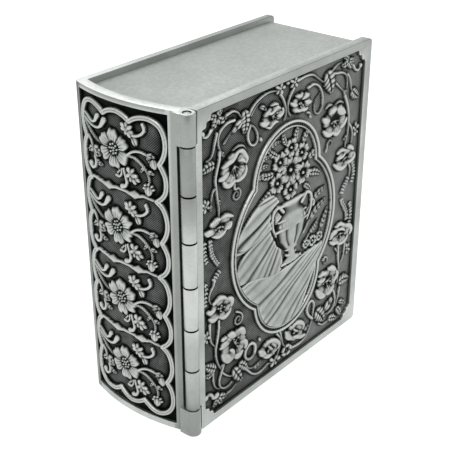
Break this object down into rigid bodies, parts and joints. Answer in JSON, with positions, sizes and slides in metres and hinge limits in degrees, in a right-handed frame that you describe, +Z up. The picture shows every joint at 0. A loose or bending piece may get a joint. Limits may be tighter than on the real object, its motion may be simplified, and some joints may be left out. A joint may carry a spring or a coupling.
{
  "type": "book-shaped keepsake box",
  "caption": "Cast pewter keepsake box shaped like a closed book, with floral relief on the spine and on the hinged front cover, and a velvet-lined hollow for rosary beads.",
  "frame": {"origin": "middle of the box's foot, on the surface that it stands on", "axes": "+Z up, +X from the spine to the fore edge, +Y from the front cover to the back cover"},
  "size_m": [0.0876, 0.042, 0.1],
  "materials": {
    "bright_metal": "brushed, satin pewter",
    "page_metal": "finely ribbed, matt silver",
    "patina_metal": "blackened ground with rubbed bright high points",
    "pin_steel": "plain turned steel",
    "velvet": "short-pile velvet"
  },
  "bodies": {
    "case": {"cover_shell": "bright_metal", "page_block": "page_metal", "spine_relief": "patina_metal", "hinge_pin": "pin_steel", "floor_pad": "velvet", "top_pad": "velvet", "bottom_pad": "velvet", "spine_pad": "velvet", "fore_edge_pad": "velvet", "closing_magnets": "pin_steel"},
    "lid": {"front_cover": "bright_metal", "cover_relief": "patina_metal", "medallion": "patina_metal", "lid_pad": "velvet", "steel_discs": "pin_steel"}
  },
  "joints": [
    {"name": "lid_hinge", "type": "hinge", "parent": "case", "child": "lid", "pos_m": [-0.03935, -0.01833, 0.05], "axis": [0, 0, -1], "range_deg": [0, 180]}
  ]
}
